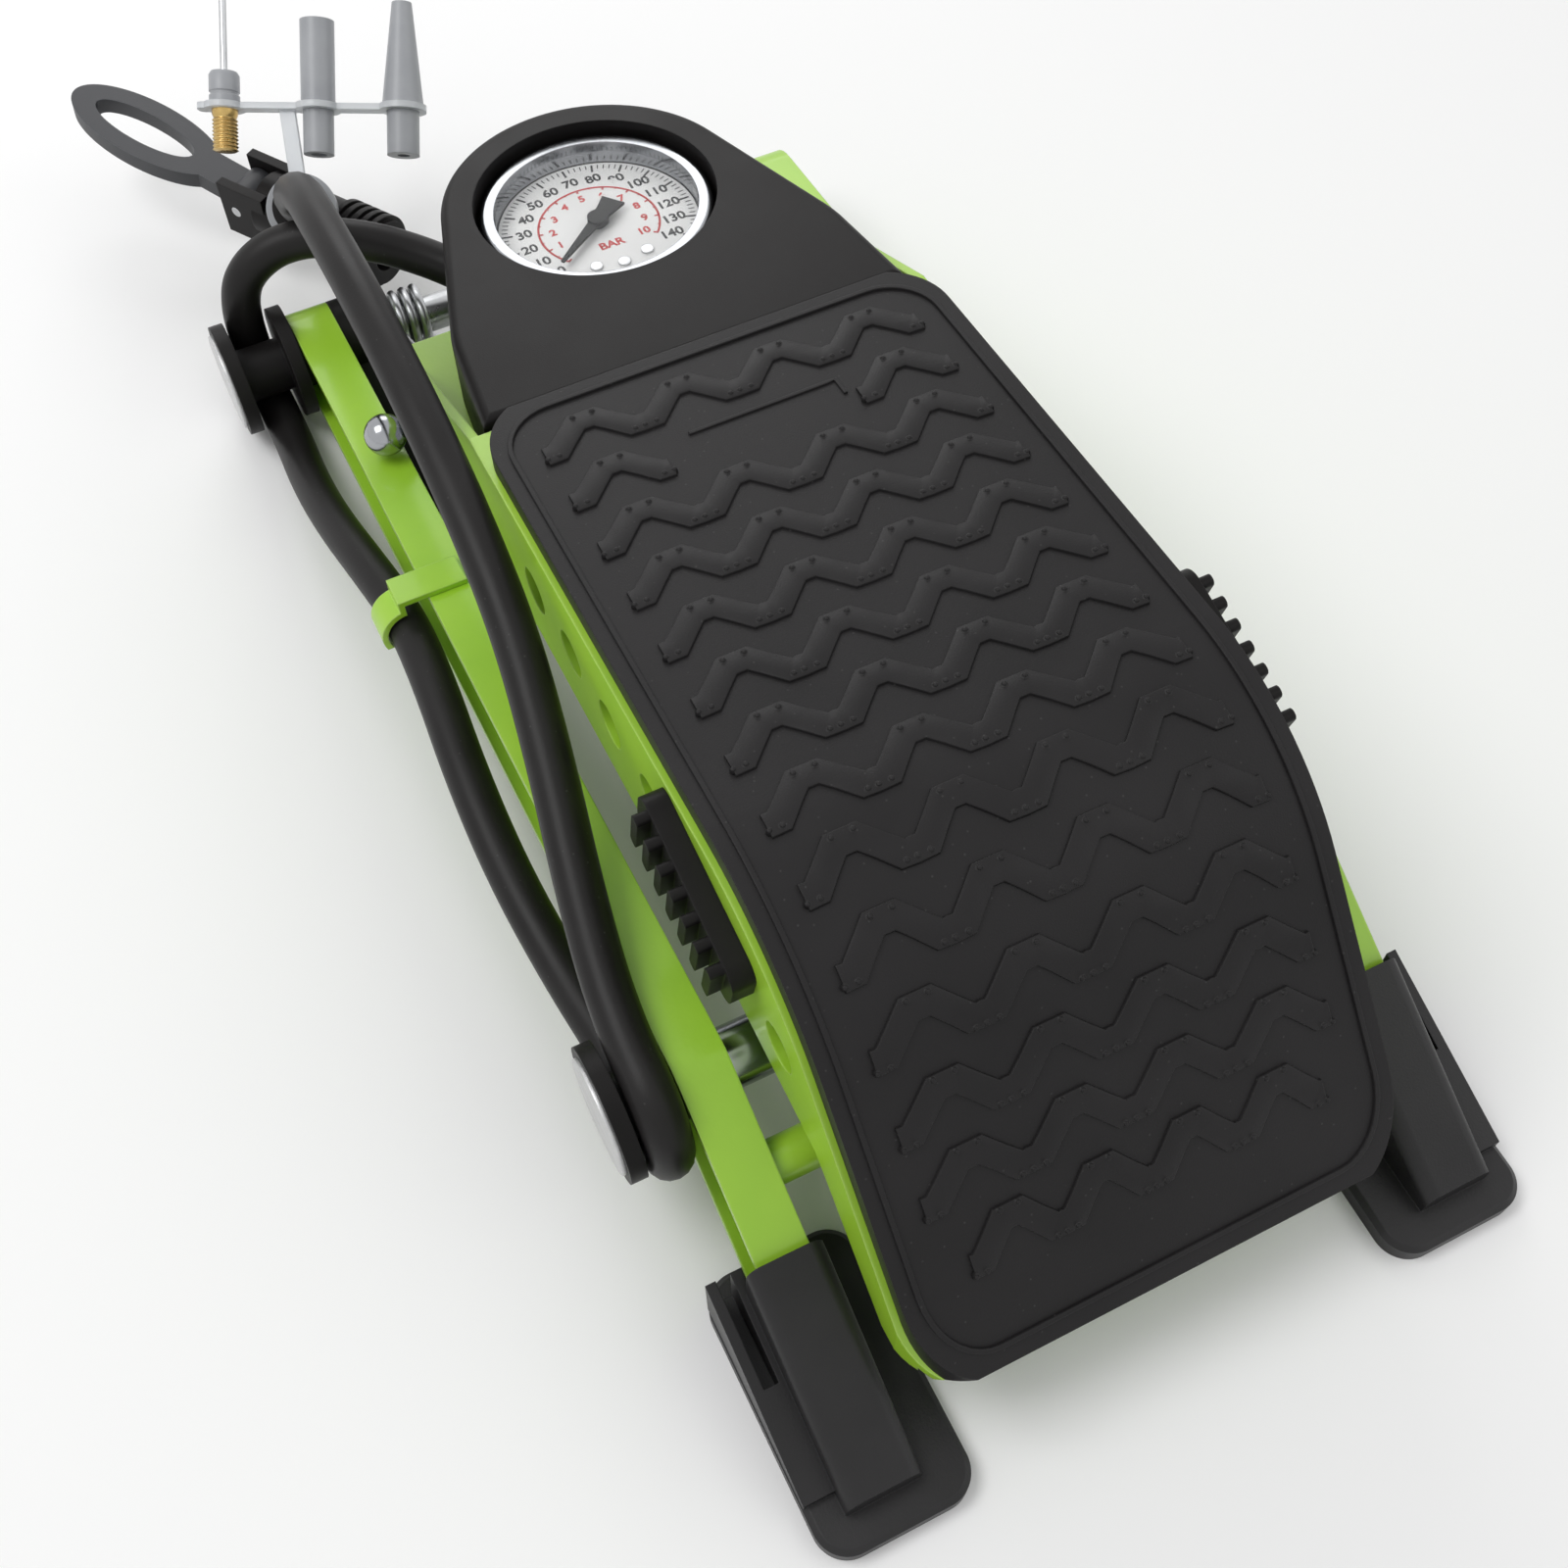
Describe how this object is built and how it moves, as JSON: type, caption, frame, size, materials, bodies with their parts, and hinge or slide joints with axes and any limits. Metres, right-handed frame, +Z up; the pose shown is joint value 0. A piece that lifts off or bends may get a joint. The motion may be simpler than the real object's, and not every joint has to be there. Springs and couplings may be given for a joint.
{
  "type": "foot pump",
  "caption": "Folding single-barrel foot pump with a rubber tread pedal, built-in dial gauge, hose cleats, lever chuck and adapters on a strap.",
  "frame": {"origin": "middle of the folded pump's footprint on the floor, the hose and chuck left out", "axes": "+Z up; -Y towards the front feet, +Y towards the gauge and hinge; +X towards the side without the hose"},
  "size_m": [0.1536, 0.3691, 0.0786],
  "materials": {
    "green_paint": "gloss lime-green powder coat",
    "mat_rubber": "matt black moulded rubber",
    "foot_rubber": "satin black rubber",
    "hose_rubber": "smooth black extruded rubber with a mould line",
    "black_plastic": "fine-textured black plastic",
    "grey_lever": "dark grey nylon",
    "light_grey": "light grey plastic",
    "clear_strap": "milky translucent plastic",
    "zinc": "bright zinc plate",
    "chrome": "polished chrome plate",
    "brass": "turned brass",
    "white_dial": "white enamelled dial",
    "lens": "clear acrylic",
    "cap_disc": "dull punched zinc disc",
    "barrel_steel": "drawn steel tube",
    "seal": "oiled rubber"
  },
  "bodies": {
    "base": {"left_leg": "green_paint", "right_leg": "green_paint", "left_front_foot": "foot_rubber", "right_front_foot": "foot_rubber", "rear_foot": "black_plastic", "rear_crossbar": "green_paint", "front_cross_tube": "green_paint", "rear_axle": "zinc", "front_axle": "zinc", "axle_nuts": "zinc", "axle_washers": "zinc", "rear_hose_spool": "black_plastic", "front_hose_spool": "black_plastic", "spool_caps": "cap_disc", "hose_clip": "green_paint", "torsion_spring": "zinc", "hose_lead": "hose_rubber", "hose": "hose_rubber", "chuck_body": "black_plastic", "chuck_gasket": "seal", "lever_pin": "zinc", "hose_collar": "light_grey", "accessory_strap": "clear_strap", "ball_needle": "zinc", "straight_nozzle": "light_grey", "cone_nozzle": "light_grey"},
    "pedal": {"pedal_frame": "green_paint", "tread_mat": "mat_rubber", "left_side_grip": "black_plastic", "right_side_grip": "black_plastic", "barrel_pin": "zinc", "gauge_housing": "black_plastic", "gauge_case": "chrome", "gauge_bezel": "chrome", "gauge_dial": "white_dial", "gauge_lens": "lens", "dial_screws": "zinc", "gauge_movement": "brass", "bourdon_tube": "brass", "gauge_stem": "brass", "lock_bracket": "chrome"},
    "gauge_hand": {"gauge_pointer": "black_plastic"},
    "lock": {"lock_pin": "chrome"},
    "rod": {"piston_rod": "chrome", "rod_sleeve": "chrome", "piston": "black_plastic", "cup_seal": "seal", "piston_nut": "zinc"},
    "barrel": {"barrel_tube": "barrel_steel", "barrel_head": "black_plastic", "outlet_nipple": "brass", "barrel_cap": "black_plastic"},
    "lever": {"chuck_lever": "grey_lever"}
  },
  "joints": [
    {"name": "pedal_hinge", "type": "hinge", "parent": "base", "child": "pedal", "pos_m": [0.0045, 0.1314, 0.015], "axis": [-1, 0, 0], "range_deg": [0, 36], "deforming": ["hose_lead", "torsion_spring"]},
    {"name": "rod_hinge", "type": "hinge", "parent": "base", "child": "rod", "pos_m": [0.0045, -0.0686, 0.031], "axis": [1, 0, 0], "range_deg": [0, 16.54]},
    {"name": "barrel_slide", "type": "slide", "parent": "rod", "child": "barrel", "axis": [0, 0.9992, 0.04], "range_m": [0, 0.0318]},
    {"name": "gauge_hand_spindle", "type": "hinge", "parent": "pedal", "child": "gauge_hand", "pos_m": [0.0045, 0.09601, 0.05702], "axis": [0, -0.0785, -0.9969], "range_deg": [0, 256]},
    {"name": "lock_pull", "type": "slide", "parent": "pedal", "child": "lock", "axis": [-1, 0, 0], "range_m": [0, 0.004], "stiffness_N_per_m": 800},
    {"name": "chuck_lever_hinge", "type": "hinge", "parent": "base", "child": "lever", "pos_m": [-0.04969, 0.18166, 0.019], "axis": [0.8358, 0.549, 0], "range_deg": [0, 55]}
  ],
  "couplings": [
    {"joint": "rod_hinge", "follows": "pedal_hinge", "ratio": 0.43178},
    {"joint": "barrel_slide", "follows": "pedal_hinge", "m_per_rad": 0.049027}
  ]
}
